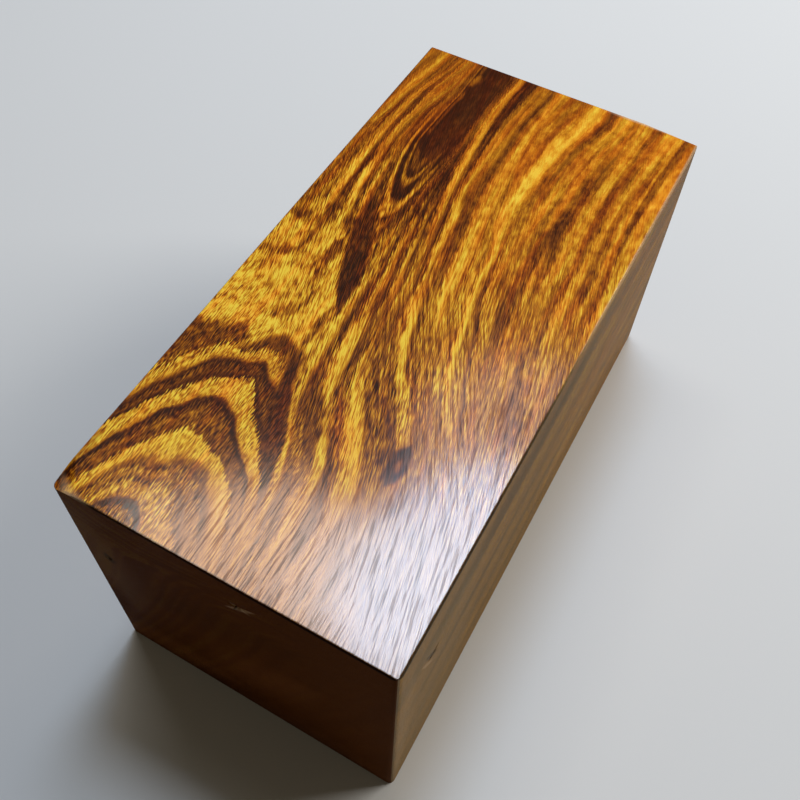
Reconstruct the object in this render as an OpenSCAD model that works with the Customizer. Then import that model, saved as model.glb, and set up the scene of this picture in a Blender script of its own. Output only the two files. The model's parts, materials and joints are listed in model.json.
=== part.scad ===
// Knife handle blank: one solid block of dense, figured hardwood, sawn square
// and sanded, from which a whole knife handle is later shaped.
//
// The block is one piece of timber. Its six faces are true planes, because the
// near end is glued to a guard and the sides are run against a fence. All that
// departs from a plain box is what sanding by hand and drying leave behind:
// edges eased by different amounts, upright corners that are each rounded
// differently, one corner rubbed down, and three small flaws in the wood.
//
// Axes: +X across the block to the right, +Y along the grain from the near end
// to the far end, +Z up. The origin is the middle of the face the block rests
// on. Every size is in millimetres.

/* [Block] */
// Length along the grain, enough for a full grip
block_length = 120; // [80:1:300]
// Width across the block
block_width = 59; // [30:0.5:120]
// Height of the block as it lies
block_height = 61; // [35:0.5:120]

/* [Eased edges] */
// Radius of the two long edges beside the polished upper face
upper_long_edge_r = 0.4; // [0.1:0.05:2]
// Radius of the two end edges of the upper face
upper_end_edge_r = 0.3; // [0.1:0.05:2]
// Radius of all four edges round the face it rests on
base_edge_r = 0.9; // [0.1:0.05:3]

/* [Upright corners] */
// Radius of the upright corner at the near end, left
near_left_r = 2; // [0.3:0.1:6]
// Radius of the upright corner at the near end, right
near_right_r = 1.3; // [0.3:0.1:6]
// Radius of the upright corner at the far end, right
far_right_r = 1.6; // [0.3:0.1:6]
// Radius of the upright corner at the far end, left
far_left_r = 0.8; // [0.3:0.1:6]

/* [Rubbed corner] */
// Length of the flat rubbed along the far upper edge, from the right
rub_length = 14; // [5:0.5:25]
// Depth of that flat where it meets the corner
rub_depth = 0.7; // [0.2:0.05:1.5]

/* [Drying check in the near end] */
// Lengths of the cracks that spread from its middle, in turn
check_arms = [3, 0.9, 1.9, 2.8, 1.1]; // [0.5:0.1:5]
// Direction of the first crack, counted from the right
check_turn = 28; // [0:1:360]
// Radius of the inner corners between the cracks
check_root_r = 0.45; // [0.2:0.05:1]
// Depth of the check
check_depth = 0.5; // [0.1:0.05:2]
// Distance of its middle to the right of the block's middle
check_offset = 2.8; // [-10:0.1:10]
// Distance of its middle below the upper face
check_drop = 7.6; // [6:0.1:25]

/* [Pit in the near end] */
// Width of the pit across its mouth
pit_width = 1.3; // [0.5:0.1:4]
// Depth of the pit
pit_depth = 0.4; // [0.1:0.05:1]
// Distance of the pit from the left side
pit_inset = 5.4; // [4:0.1:12]
// Distance of the pit below the upper face
pit_drop = 20.5; // [8:0.1:30]

/* [Split in the right side] */
// Length of the split along the grain
split_length = 4.2; // [1:0.1:10]
// Width of the split at its middle
split_width = 0.7; // [0.2:0.05:2]
// Depth of the split
split_depth = 0.8; // [0.1:0.05:3]
// Distance of its middle from the near end
split_inset = 11.5; // [8:0.1:40]
// Distance of its middle below the upper face
split_drop = 17.5; // [6:0.1:30]

/* [Hidden] */

// Every round form in the block is a true cylinder or sphere of this fineness
$fn = 64;

// How far a cutting form runs past the surface that it cuts
overrun = 1;

// Which way each corner of an outline lies from its middle, anticlockwise
corner_signs = [[-1, -1], [1, -1], [1, 1], [-1, 1]];

// A shallow round-bottomed pit is the cap of a sphere with this radius
pit_sphere_r = (pow(pit_width / 2, 2) + pow(pit_depth, 2)) / (2 * pit_depth);

// A lens is where two equal discs overlap; this is their radius
split_disc_r = (pow(split_length / 2, 2) + pow(split_width / 2, 2)) / split_width;

// Slope of the rubbed flat along the edge
rub_slope = atan(rub_depth / rub_length);

// The check's outline: a crack's tip, then the inner corner that follows it
check_points = [
    for (i = [0:len(check_arms) - 1], half = [0, 1])
        let (
            pitch = 360 / len(check_arms),
            angle = check_turn + (i + half / 2) * pitch,
            reach = half == 0 ? check_arms[i] : check_root_r
        )
        reach * [cos(angle), sin(angle)]
];

// What is sanded away outside the arc at one corner of an outline
module corner_waste(size, sign, r) {
    cover = r + overrun;
    translate([sign.x * (size.x / 2 - r), sign.y * (size.y / 2 - r)])
        difference() {
            translate([sign.x * cover / 2, sign.y * cover / 2])
                square(cover, center = true);
            circle(r);
        }
}

// A rectangle whose four corners each have their own radius
module eased_rectangle(size, radii) {
    difference() {
        square(size, center = true);
        for (i = [0:3])
            corner_waste(size, corner_signs[i], radii[i]);
    }
}

// The block seen from above, which rounds the upright corners
module plan_prism() {
    linear_extrude(block_height + 2 * overrun, center = true)
        eased_rectangle(
            [block_width, block_length],
            [near_left_r, near_right_r, far_right_r, far_left_r]
        );
}

// The block seen from its right side, which eases the edges across both ends
module side_prism() {
    rotate([90, 0, 90])
        linear_extrude(block_width + 2 * overrun, center = true)
            eased_rectangle(
                [block_length, block_height],
                [base_edge_r, base_edge_r, upper_end_edge_r, upper_end_edge_r]
            );
}

// The block seen from its near end, which eases the long edges
module end_prism() {
    rotate([90, 0, 0])
        linear_extrude(block_length + 2 * overrun, center = true)
            eased_rectangle(
                [block_width, block_height],
                [base_edge_r, base_edge_r, upper_long_edge_r, upper_long_edge_r]
            );
}

// The sanded block before its flaws, standing on its base
module sanded_block() {
    translate([0, 0, block_height / 2])
        intersection() {
            plan_prism();
            side_prism();
            end_prism();
        }
}

// The waste above the slanting flat rubbed on the far upper edge. The flat
// faces up and away at 45 degrees and dies out rub_length along the edge.
module rubbed_corner() {
    size = 2 * rub_length;
    translate([block_width / 2 - rub_length, block_length / 2, block_height])
        rotate([-45, 0, 0])
            rotate([0, rub_slope, 0])
                translate([0, -size / 2, 0])
                    cube([size, size, size]);
}

// A star of narrow cracks, opened by drying, where the end grain was cut
module end_check() {
    translate([check_offset, -block_length / 2, block_height - check_drop])
        rotate([90, 0, 0])
            translate([0, 0, -check_depth])
                linear_extrude(check_depth + overrun)
                    polygon(check_points);
}

// A shallow dimple where a pore broke out of the end grain
module end_pit() {
    translate([
        pit_inset - block_width / 2,
        pit_depth - pit_sphere_r - block_length / 2,
        block_height - pit_drop
    ])
        sphere(pit_sphere_r);
}

// A thin lens-shaped split that follows the grain
module side_split() {
    translate([
        block_width / 2 - split_depth,
        split_inset - block_length / 2,
        block_height - split_drop
    ])
        rotate([90, 0, 90])
            linear_extrude(split_depth + overrun)
                intersection_for (side = [-1, 1])
                    translate([0, side * (split_disc_r - split_width / 2)])
                        circle(split_disc_r);
}

// The blank as it is handed over for shaping
module handle_blank() {
    color([0.56, 0.34, 0.09])
        difference() {
            sanded_block();
            rubbed_corner();
            end_check();
            end_pit();
            side_split();
        }
}

handle_blank();
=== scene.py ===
import json
import math

import bpy
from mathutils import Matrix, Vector

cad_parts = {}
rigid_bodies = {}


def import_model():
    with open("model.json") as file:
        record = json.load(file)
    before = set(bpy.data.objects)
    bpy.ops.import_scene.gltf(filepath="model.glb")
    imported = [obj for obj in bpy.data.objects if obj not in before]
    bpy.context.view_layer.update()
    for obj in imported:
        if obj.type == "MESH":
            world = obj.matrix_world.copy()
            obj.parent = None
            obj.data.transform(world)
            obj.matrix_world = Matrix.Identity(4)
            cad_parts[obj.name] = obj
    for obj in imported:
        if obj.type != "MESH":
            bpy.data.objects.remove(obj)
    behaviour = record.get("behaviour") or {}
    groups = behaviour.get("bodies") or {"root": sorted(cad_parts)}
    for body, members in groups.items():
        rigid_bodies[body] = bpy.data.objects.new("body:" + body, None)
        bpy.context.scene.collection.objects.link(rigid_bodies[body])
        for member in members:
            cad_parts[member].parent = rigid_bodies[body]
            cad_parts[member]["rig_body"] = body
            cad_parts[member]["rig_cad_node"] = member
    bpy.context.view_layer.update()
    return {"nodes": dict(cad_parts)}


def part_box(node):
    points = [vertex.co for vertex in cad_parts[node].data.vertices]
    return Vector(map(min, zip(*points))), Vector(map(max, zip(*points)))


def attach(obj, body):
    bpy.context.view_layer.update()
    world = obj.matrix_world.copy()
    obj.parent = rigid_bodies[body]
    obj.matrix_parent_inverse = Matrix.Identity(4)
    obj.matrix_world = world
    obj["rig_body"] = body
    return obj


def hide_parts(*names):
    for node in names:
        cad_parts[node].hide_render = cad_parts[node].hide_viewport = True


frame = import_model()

# A knife handle blank: one block of dense figured hardwood, polished on its
# upper face, sanded on its sides and left dark with oil on its end grain.
# The wood's figure is a solid pattern, so each face shows its own cut of it.

bl_info = {
    "name": "Figured hardwood handle blank",
    "version": (1, 0, 0),
    "blender": (4, 5, 0),
    "location": "View3D > Sidebar > Handle Blank",
    "description": "Makes a knife handle blank of figured hardwood and a plain studio for it",
    "category": "Object",
}

NODE = "handle_blank"
LOW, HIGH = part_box(NODE)
WIDTH, LENGTH, _ = HIGH - LOW

# Everything about the figure is written in millimetres.
MM = 1000.0
FACE_WIDTH = WIDTH * MM
FACE_LENGTH = LENGTH * MM
# Radii that the frame's block has at its near left upright corner and its base
NEAR_LEFT_R = 0.002
BASE_EDGE_R = 0.0009

# The finishes of the wood: how far their roughness varies, their specular level,
# how much of the pore depth shows and how much of the wood dust or oil hides.
POLISHED = {"spread": 0.15, "specular": 0.04, "pores": 0.3}
SANDED = {"spread": 0.1, "specular": 0.1, "pores": 1.0, "hides": 0.68}
OILED = {"spread": 0.1, "specular": 0.008, "pores": 1.0, "hides": 0.955}


# ---- sizes and colours ----


class BlankSettings(bpy.types.PropertyGroup):
    """Finish of the block and strength of its figure"""

    figure_contrast: bpy.props.FloatProperty(
        name="Figure contrast", description="How far the dark and golden bands stand apart",
        default=1.0, min=0.0, max=1.5, subtype="FACTOR")
    fibre_contrast: bpy.props.FloatProperty(
        name="Fibre contrast", description="How strongly the short fibres show on the face",
        default=1.0, min=0.0, max=2.0, subtype="FACTOR")
    polish_roughness: bpy.props.FloatProperty(
        name="Polished roughness",
        description="Roughness of the wood under the polish of the upper face",
        default=0.4, min=0.05, max=1.0, subtype="FACTOR")
    coat_roughness: bpy.props.FloatProperty(
        name="Polish roughness", description="Roughness of the thin polish itself",
        default=0.12, min=0.03, max=1.0, subtype="FACTOR")
    sanded_roughness: bpy.props.FloatProperty(
        name="Sanded roughness", description="Roughness of the sanded sides",
        default=0.55, min=0.05, max=1.0, subtype="FACTOR")
    end_roughness: bpy.props.FloatProperty(
        name="End grain roughness", description="Roughness of the two sawn ends",
        default=0.6, min=0.05, max=1.0, subtype="FACTOR")
    pore_depth: bpy.props.FloatProperty(
        name="Pore depth", description="Depth of the open pores",
        default=0.00012, min=0.0, max=0.001, unit="LENGTH", precision=5)
    end_tint: bpy.props.FloatVectorProperty(
        name="End grain tint", description="What oil leaves of the wood's colour on the end grain",
        default=(0.078, 0.021, 0.0035), min=0.0, max=1.0, size=3, subtype="COLOR")
    sanded_tint: bpy.props.FloatVectorProperty(
        name="Sanding dust", description="Colour of the fine dust that dulls the right side",
        default=(0.16, 0.119, 0.041), min=0.0, max=1.0, size=3, subtype="COLOR")
    # The left side's dust is warmer than the right's: painted warmth that offsets the cool light
    # falling on the left side
    left_tint: bpy.props.FloatVectorProperty(
        name="Left side dust", description="Colour of the fine dust that dulls the left side",
        default=(0.16, 0.1, 0.034), min=0.0, max=1.0, size=3, subtype="COLOR")
    near_left_radius: bpy.props.FloatProperty(
        name="Near left corner", description="Radius of the upright corner at the near left",
        default=0.001, min=0.0009, max=0.002, unit="LENGTH", precision=4)
    rub_along_side: bpy.props.FloatProperty(
        name="Rub along the side",
        description="How far the rub on the near left upper corner runs along the left side",
        default=0.006, min=0.001, max=0.02, unit="LENGTH", precision=4)
    rub_along_end: bpy.props.FloatProperty(
        name="Rub along the end",
        description="How far the rub on the near left upper corner runs along the near end",
        default=0.0045, min=0.001, max=0.02, unit="LENGTH", precision=4)
    rub_drop: bpy.props.FloatProperty(
        name="Rub depth", description="How far the rub lowers the near left upper corner",
        default=0.001, min=0.0002, max=0.003, unit="LENGTH", precision=4)


class StudioSettings(bpy.types.PropertyGroup):
    """Floor, lights and camera"""

    floor_colour: bpy.props.FloatVectorProperty(
        name="Floor", description="Colour of the plain floor and wall",
        default=(0.7, 0.7, 0.7), min=0.0, max=1.0, size=3, subtype="COLOR")
    window_glow: bpy.props.FloatProperty(
        name="Window glow", description="Brightness of the window that the polished face mirrors",
        default=16.0, min=0.0)
    wall_glow: bpy.props.FloatProperty(
        name="Wall glow", description="Brightness of the pale walls round the window",
        default=7.6, min=0.0)
    side_glow: bpy.props.FloatProperty(
        name="Side glow", description="Brightness of the soft light at the far right",
        default=7.3, min=0.0)
    sky_level: bpy.props.FloatProperty(
        name="Sky level", description="Strength of the even light from all round",
        default=0.08, min=0.0, max=1.0)
    lens: bpy.props.FloatProperty(
        name="Lens", description="Focal length of the camera",
        default=43.4, min=10.0, max=200.0, unit="CAMERA")


# ---- node arithmetic ----

# A Mix node's colour sockets, which share their names with its number sockets
MIX_FIRST, MIX_SECOND, MIX_RESULT = 6, 7, 2


class Recipe:
    """Writes a node tree as arithmetic, so that a pattern reads as a formula"""

    def __init__(self, tree):
        self.tree = tree

    def node(self, kind, **settings):
        """A new node of this kind with its settings"""
        made = self.tree.nodes.new(kind)
        for name, value in settings.items():
            setattr(made, name, value)
        return made

    def give(self, socket, value):
        """Links a result to a socket, or sets the socket to a plain number or colour"""
        if isinstance(value, bpy.types.NodeSocket):
            self.tree.links.new(value, socket)
        else:
            socket.default_value = value

    def math(self, operation, *values, clamp=False):
        """The result of one Math node"""
        made = self.node("ShaderNodeMath", operation=operation, use_clamp=clamp)
        for socket, value in zip(made.inputs, values):
            self.give(socket, value)
        return made.outputs[0]

    def add(self, *values):
        """The sum of all the values"""
        total = values[0]
        for value in values[1:]:
            total = self.math("ADD", total, value)
        return total

    def sub(self, a, b):
        """a less b"""
        return self.math("SUBTRACT", a, b)

    def mul(self, *values):
        """The product of all the values"""
        product = values[0]
        for value in values[1:]:
            product = self.math("MULTIPLY", product, value)
        return product

    def clamp(self, value):
        """The value kept between 0 and 1"""
        return self.math("ADD", value, 0.0, clamp=True)

    def step(self, value, start, end):
        "0 before start, 1 past end, smooth between. start may be the larger one."
        made = self.node("ShaderNodeMapRange", interpolation_type="SMOOTHSTEP")
        flip = not isinstance(start, bpy.types.NodeSocket) and start > end
        low, high = (end, start) if flip else (start, end)
        self.give(made.inputs["Value"], value)
        self.give(made.inputs["From Min"], low)
        self.give(made.inputs["From Max"], high)
        result = made.outputs["Result"]
        return self.sub(1.0, result) if flip else result

    def blend(self, amount, low, high):
        """low where amount is 0, high where it is 1"""
        made = self.node("ShaderNodeMix", data_type="FLOAT")
        self.give(made.inputs["Factor"], amount)
        self.give(made.inputs["A"], low)
        self.give(made.inputs["B"], high)
        return made.outputs["Result"]

    def blend_colour(self, amount, low, high, how="MIX"):
        """Two colours mixed, from low where amount is 0"""
        made = self.node("ShaderNodeMix", data_type="RGBA", blend_type=how)
        self.give(made.inputs["Factor"], amount)
        self.give(made.inputs[MIX_FIRST], low)
        self.give(made.inputs[MIX_SECOND], high)
        return made.outputs[MIX_RESULT]

    def vector(self, x, y, z):
        """A place made of three distances"""
        made = self.node("ShaderNodeCombineXYZ")
        for socket, value in zip(made.inputs, (x, y, z)):
            self.give(socket, value)
        return made.outputs[0]

    def noise(self, place, detail, roughness):
        """Noise of unit grain size, centred on 0 and mostly within -0.5 to 0.5"""
        made = self.node("ShaderNodeTexNoise", noise_dimensions="3D")
        self.give(made.inputs["Vector"], place)
        self.give(made.inputs["Scale"], 1.0)
        self.give(made.inputs["Detail"], detail)
        self.give(made.inputs["Roughness"], roughness)
        return self.math("MULTIPLY_ADD", made.outputs["Fac"], 2.0, -1.0)

    def cloud(self, across, along, down, pattern):
        """Noise drawn out along the grain, as one of the patterns above the figure says"""
        finer, detail, roughness = pattern
        place = [self.mul(way, times) for way, times in zip((across, along, down), finer)]
        return self.noise(self.vector(*place), detail, roughness)

    def curve(self, value, points, across, up):
        """The height at value of a smooth curve drawn through points"""
        made = self.node("ShaderNodeFloatCurve")
        line = made.mapping.curves[0]
        made.mapping.use_clip = False
        while len(line.points) < len(points):
            line.points.new(0.5, 0.5)
        for dot, (x, y) in zip(line.points, points):
            dot.location = (x / across, y / up)
            dot.handle_type = "AUTO_CLAMPED"
        made.mapping.update()
        self.give(made.inputs["Value"], self.math("DIVIDE", value, across))
        return self.mul(made.outputs[0], up)

    def long_curve(self, value, points, joints):
        """A curve drawn in pieces between joints, which holds finer detail than one node"""
        total = 0.0
        for start, end in zip(joints, joints[1:]):
            first, last = between(points, start), between(points, end)
            piece = [(0, 0)] + [(x - start, y - first) for x, y in points if start < x < end]
            piece.append((end - start, last - first))
            part = self.sub(value, start)
            inside = self.math("MINIMUM", self.math("MAXIMUM", part, 0.0), end - start)
            total = self.add(self.curve(inside, piece, end - start, 1.0), total)
        return self.add(total, between(points, joints[0]))

    def ramp(self, value, stops):
        """The colour at value, between stops of a place and a colour"""
        made = self.node("ShaderNodeValToRGB")
        band = made.color_ramp
        band.interpolation = "LINEAR"
        while len(band.elements) < len(stops):
            band.elements.new(0.5)
        for stop, (place, colour) in zip(band.elements, stops):
            stop.position = place
            stop.color = (*colour, 1.0)
        self.give(made.inputs[0], value)
        return made.outputs[0]

    def leaf(self, x, y, tip_x, tip_y, tail_x, tail_y, half_width, edge):
        "1 inside a leaf drawn from its tip to its tail, 0 outside, with soft edges"
        reach = math.dist((tip_x, tip_y), (tail_x, tail_y))
        turn_x, turn_y = (tail_x - tip_x) / reach, (tail_y - tip_y) / reach
        dx = self.sub(x, (tip_x + tail_x) / 2)
        dy = self.sub(y, (tip_y + tail_y) / 2)
        along = self.add(self.mul(dx, turn_x), self.mul(dy, turn_y))
        across = self.sub(self.mul(dx, turn_y), self.mul(dy, turn_x))
        share = self.mul(along, 2 / reach)
        room = self.mul(self.sub(1.0, self.mul(share, share)), half_width)
        return self.step(self.sub(room, self.math("ABSOLUTE", across)), -edge, edge)


def empty_recipe(owner):
    """The emptied node tree of a material or world, ready to be written"""
    owner.use_nodes = True
    owner.node_tree.nodes.clear()
    return Recipe(owner.node_tree)


# ---- the wood's figure ----


def rows(text):
    """The numbers of each line of a table"""
    return [[float(word) for word in line.split()] for line in text.strip().splitlines()]


def pairs(text):
    """Numbers written one after the other, taken two by two"""
    numbers = [float(word) for word in text.split()]
    return list(zip(numbers[::2], numbers[1::2]))


# Lines of the grain on the upper face. Each has a name, which is its distance
# from the left side about half way along, then pairs of a distance from the far
# end and the line's distance from the left side there.
GRAIN_LINES = [(name, pairs(course)) for name, course in [
    (-1, "0 -1 40 -1 120 -1"),
    (1, "0 4 7 3.2 14 2.3 22 1.6 27 1 36 .6 43 1 120 1"),
    (5, "0 7.1 5 6.4 10 5.6 15 4.8 20 4.3 26 4 33 4.3 42 4.6 50 5 120 5"),
    (8.9, "0 9.2 6 8.4 10 7.8 14 7.2 20 6.7 26 6.1 30 6.2 37 7.1 43 7.6 49 8.7 60 9.6 120 10"),
    (11.6, """0 10.6 8 10.2 15 9 20 8.3 27 8.4 33 9 41 9.9 45.5 10.4 49 11.4 56 13 63 14.3 70 15.3
    120 16"""),
    (14.6, """0 12.6 5 12.3 10 11.8 15 10.7 22 9.8 28 9.9 33 10.6 37 11.3 40 12.1 43 13 47 14.2
    56 15.6 63 17 70 18 120 18"""),
    (17.2, """0 16 10 17.2 18 18.3 26 18.6 32 18.4 40 17.6 48 17.1 53 17.6 60 19.1 66 19.8 75 20.1
    86 21.6 92 23.2 98 26 104 28.3 110 29.8 120 31.5"""),
    (21.6, """0 18.8 10 19 20 19.4 30 19.8 40 20.4 45 21 50 21.6 60 23 68 24.3 76 25.3 80 26
    84 26.3 87 26.8 89 27.7 92 29.4 96.5 31.8 99 32.7 106 34.3 114 35.5 120 36"""),
    (25.4, """0 21.2 10 20.8 20 21.4 30 22.2 38 23.3 45 24.4 50 25.4 55 26.3 60 27 70 28 77 28.6
    80 29.2 82.5 30.2 87 32.9 91.5 35.5 94 36.8 97 37.9 100 39 105 40.2 120 42"""),
    (28.6, """0 25.4 10 24.6 20 24.4 28 24.9 36 25.4 39 25.9 42 27 48 27.9 55 28.8 62 30 65.5 30.8
    69 31.8 72 33 74.5 34.3 78.5 36.7 83 39.3 88 42.3 92 44 100 46.5 110 49 120 51.5"""),
    (32.8, """0 30.3 5 30 15 29.4 25 29.8 35 30.6 45 32 55 33.5 62 35 70 37.5 75 39 80 41.2
    85 43.5 90 45.5 97 48 105 50.5 120 54"""),
    (36.8, """0 38 5 37.3 10 36.6 15 35.8 25 35.5 35 35.3 40 35.6 45 36.5 55 37.6 61 38.8 69 40.6
    74 42.6 79.5 45.1 88 48.7 95 51 105 53.5 120 57"""),
    (39, """0 41.3 5 41 10 40 15 39 25 38.2 35 38 45 38.2 55 39.4 60 40.8 66.5 43 70 44 77 46.5
    80 47.8 85 50 90 51.8 100 54.5 120 60"""),
    (48.5, """0 49.2 5 49 15 48 25 47.5 35 47.7 42 48.2 50 48.5 55 49.2 65 51 75 53.2 80 54.5
    90 57 100 59 120 64"""),
    (57.5, "0 58.4 5 57.8 15 57 35 57 45 57.3 55 57.8 65 59 75 61 85 63.5 100 68 120 74"),
]]

# How golden the wood is at cuts across the upper face: the cut's distance from
# the far end, then pairs of a distance from the left side and the tone there,
# from 0 dark to 1 gold.
CUTS = [(cut, pairs(tones)) for cut, tones in [
    (3, """0 .45 2.5 .5 3.7 .62 5.3 .35 7.5 .45 9.5 .5 11.5 .4 12.3 .2 14.5 .15 15.3 .25 16.2 .13
    18.5 .2 20.3 .3 21 .62 21.8 .5 22.6 .15 24.3 .15 25 .5 26.5 .52 28 .28 29.3 .55 30.3 .66
    31.5 .5 35 .42 37 .82 38.2 .8 40 .42 41.2 .2 42.8 .55 44.5 .75 46 .55 49.3 .66 50 .35 51.3 .25
    52.2 .55 55.5 .72 56.6 .2 57.8 .5 59 .45"""),
    (17, """0 .2 1.5 .6 2.1 .68 3.3 .3 4.6 .62 5.7 .18 6.9 .55 8.2 .5 9.3 .22 10.4 .45 11.1 .25
    13 .1 14 .12 18 .2 20 .45 21.1 .68 22.2 .2 23 .1 23.9 .55 26 .55 27.4 .3 28.4 .34 29.3 .74
    30.5 .56 31.5 .64 33 .4 33.8 .5 34.5 .8 36 .87 37.4 .5 39.6 .4 41.5 .6 42.3 .4 43 .6 45 .4
    46.6 .36 47.5 .64 48.6 .66 49.5 .38 51.2 .34 52 .56 54.3 .3 54.8 .6 55.7 .18 57 .7 58.2 .7
    59 .6"""),
    (33, """0 .5 1.8 .35 3.5 .5 4.3 .75 5.4 .2 6.7 .55 8 .3 9.2 .55 9.8 .3 10.8 .62 11.3 .25 15 .3
    16.2 .15 19 .25 21 .1 21.5 .12 22.6 .8 24 .28 25.3 .7 26.6 .3 28 .3 29.5 .64 31.3 .64 32 .52
    33.6 .72 34.8 .87 35.8 .82 36.8 .42 38.2 .42 40 .7 41.8 .4 42.5 .5 44 .2 45 .15 46.5 .62
    48.5 .64 50 .28 51.8 .62 53.2 .3 54.4 .64 56 .3 56.6 .66 58 .5 58.6 .68"""),
    (46, """0 .55 1.8 .35 2.8 .55 3.5 .45 4.9 .8 6.3 .24 7.6 .65 8.2 .88 9.4 .35 10.8 .68 12 .25
    13.6 .3 15.4 .7 16.7 .5 17.3 .18 18.8 .22 19.3 .42 20.2 .15 21.2 .6 21.8 .18 22.7 .55 23.3 .18
    24.5 .5 25.6 .16 27.3 .72 28.8 .2 29.8 .18 32 .74 33 .66 33.6 .5 34.3 .56 35 .42 36.8 .78
    38 .4 39.4 .62 40.8 .42 42 .48 44 .26 45.4 .56 46.5 .4 48 .6 50.5 .34 52.3 .74 53.5 .22
    54.3 .2 55.3 .54 56.4 .28 57.1 .5 58.4 .66"""),
    (60, """0 .5 18.5 .12 19.8 .62 20.7 .62 22 .26 22.8 .7 24.5 .26 25.1 .66 26 .26 27.2 .6
    28.6 .3 29.5 .62 31.1 .42 32.4 .46 33.5 .8 34.5 .78 35.3 .52 36.3 .5 37.1 .66 37.9 .54
    38.7 .76 39.4 .58 39.9 .45 40.6 .22 41.3 .55 41.9 .6 43.3 .5 45 .25 46.5 .52 48.5 .5 49.5 .38
    51.2 .52 52 .35 53.5 .56 57 .5 58 .42 59 .5"""),
    (67, """0 .5 18.8 .1 19.5 .12 20.8 .66 21.4 .55 22.6 .15 24 .5 25.2 .2 26.2 .5 26.7 .3 28 .45
    28.6 .3 30 .42 30.8 .6 31.5 .9 32.2 .78 32.8 .3 33.6 .36 34.3 .58 34.9 .4 35.8 .6 36.4 .42
    37.2 .62 37.9 .42 38.7 .62 39.4 .5 40.2 .84 41 .7 41.5 .46 42 .6 42.7 .42 43.2 .28 43.8 .62
    45 .5 46 .38 49 .55 51 .5 51.6 .35 53.2 .52 56.4 .55 57.7 .3 59 .45"""),
    (75, """0 .5 19.6 .45 21 .85 21.9 .75 23 .35 24.4 .78 25.4 .78 26.4 .2 27.3 .14 28.2 .58
    28.9 .35 30 .42 31 .36 32.2 .44 33.2 .42 34.2 .84 35 .76 35.8 .34 36.6 .46 37.3 .34 38.1 .56
    38.8 .38 39.6 .55 40.3 .38 41 .62 41.6 .46 42.3 .78 43.2 .74 43.9 .45 44.5 .58 45.2 .36 46 .3
    46.7 .62 47.4 .45 49.5 .48 51.5 .5 54.2 .24 57 .5 58 .35 59 .42"""),
    (86, """0 .5 21 .35 22.6 .66 23.8 .18 24.8 .2 25.6 .6 26.6 .78 27.6 .6 28.4 .36 29.6 .36
    30.6 .6 31.6 .76 32.6 .84 33.5 .7 34.4 .32 35.4 .26 37 .36 38.2 .26 39.6 .42 41 .56 42 .56
    42.8 .36 43.6 .38 46 .43 49 .46 54 .45 59 .5"""),
    (98, """0 .5 25.2 .3 26.6 .78 27.8 .4 29 .4 31.2 .35 32.5 .8 33.7 .4 35 .25 36.3 .72 38.7 .78
    40.2 .45 43 .48 46 .42 50 .45 59 .5"""),
    (106, """0 .5 27.2 .4 29.3 .7 30.6 .32 33.8 .78 35.6 .5 37 .28 38.4 .64 42 .42 44 .5 47 .45
    50 .5 54 .47 59 .5"""),
    (115, """0 .5 31 .5 31.7 .38 32.3 .58 33 .4 34.6 .58 35.2 .36 36 .55 37 .4 39 .58 41.2 .34
    42.2 .64 43.1 .4 46 .46 48 .58 49.5 .45 53.5 .46 59 .48"""),
]]

# What the grain shows past the right side, where only the sanded side cuts it,
# and how fast the names of the grain lines grow there.
PAST_THE_SIDE = pairs("58.5 .2 59 .3 59.5 .55 60.5 .35 61.5 .5 62.5 .3 63.5 .5 64.5 .36 66 .5")
PAST_LAST_LINE = 0.35

# The arches at the near left: the far side of each ring, as pairs of a distance
# from the left side and from the far end, from the outermost ring inwards.
ARCH_LINES = [pairs(course) for course in [
    """0 84 3 83 6 82 8 80.5 9.5 82.5 11 83.5 13 81.5 15.5 79.5 18 81 19 82 21 86 24 91 27 96
    30 104 34 114""",
    """0 104.5 1.5 101 2.5 98.5 3.7 96.3 5 94.5 6.2 92 7.5 90 9 88.6 11 87.8 13 87.2 15.3 86.2
    17 87.6 18.5 89 20 90.5 23 94 26 98.5 30 106 34 116""",
    """0 108.5 2 105 3.3 101.5 5 98.8 6.8 96.5 9 93.5 11.5 91.5 13.5 90.3 15.4 89 16.6 91 18 93.6
    20 96.6 22.5 99.3 25 102 27 105.5 30 112 34 120""",
    """0 118.5 1.4 113.5 3 109 4.6 105.2 6.5 101.5 8 99.3 10 97 12.3 95.6 14.5 95.9 17 97.8
    20 100.7 22 102.6 24.4 104.8 27 110 30 117 34 126""",
    """0 128 2.6 118 4 114.2 5.5 110.5 7.5 107 9.5 103.8 13 102 16 102.4 19 104.3 22 106.3 25 110
    30 121 34 130""",
    "0 133 4 119.5 6 114.8 8 111.4 10 109.9 12.5 108.8 15 107 18 107 20 109 23 113 30 126 34 134",
    "0 137 5 121 7 117 9 114.3 11 112.9 14 112.3 17 113.4 20 117 24 122 30 131 34 138",
    "0 142 5 126 8 119.3 9.7 117.2 11.5 116 13.5 116.8 15.2 119 18 124 24 131 30 138 34 143",
]]
# Tone of the rings by how many of them lie beyond a place
ARCH_RINGS = pairs("""0 .3 .3 .3 .55 .42 .75 .74 .88 .66 .96 .25 1.05 .1 1.3 .24 1.6 .26 1.82 .12
1.96 .4 2.1 .74 2.5 .78 2.85 .66 2.95 .3 3.06 .1 3.3 .26 3.6 .34 3.9 .32 4.05 .66 4.3 .84 4.7 .7
4.95 .45 5.1 .34 5.3 .46 5.55 .52 5.85 .4 6.1 .66 6.6 .64 6.9 .45 7.02 .1 7.25 .16 7.45 .45 8 .55""")

# The eye near the far left corner. Its loops hang from the far edge round this
# middle line, as pairs of a distance from the far end and from the left side.
EYE_MIDDLE = pairs("0 15.3 5 15.2 10 15.1 18 14.7 30 14.3 41 15 46 15.5 120 15.5")
# Where the loops start to close, how long and how pointed their ends are
EYE_TOP = 18.0
EYE_STRETCH = 6.5
EYE_POINT = 1.8
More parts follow.
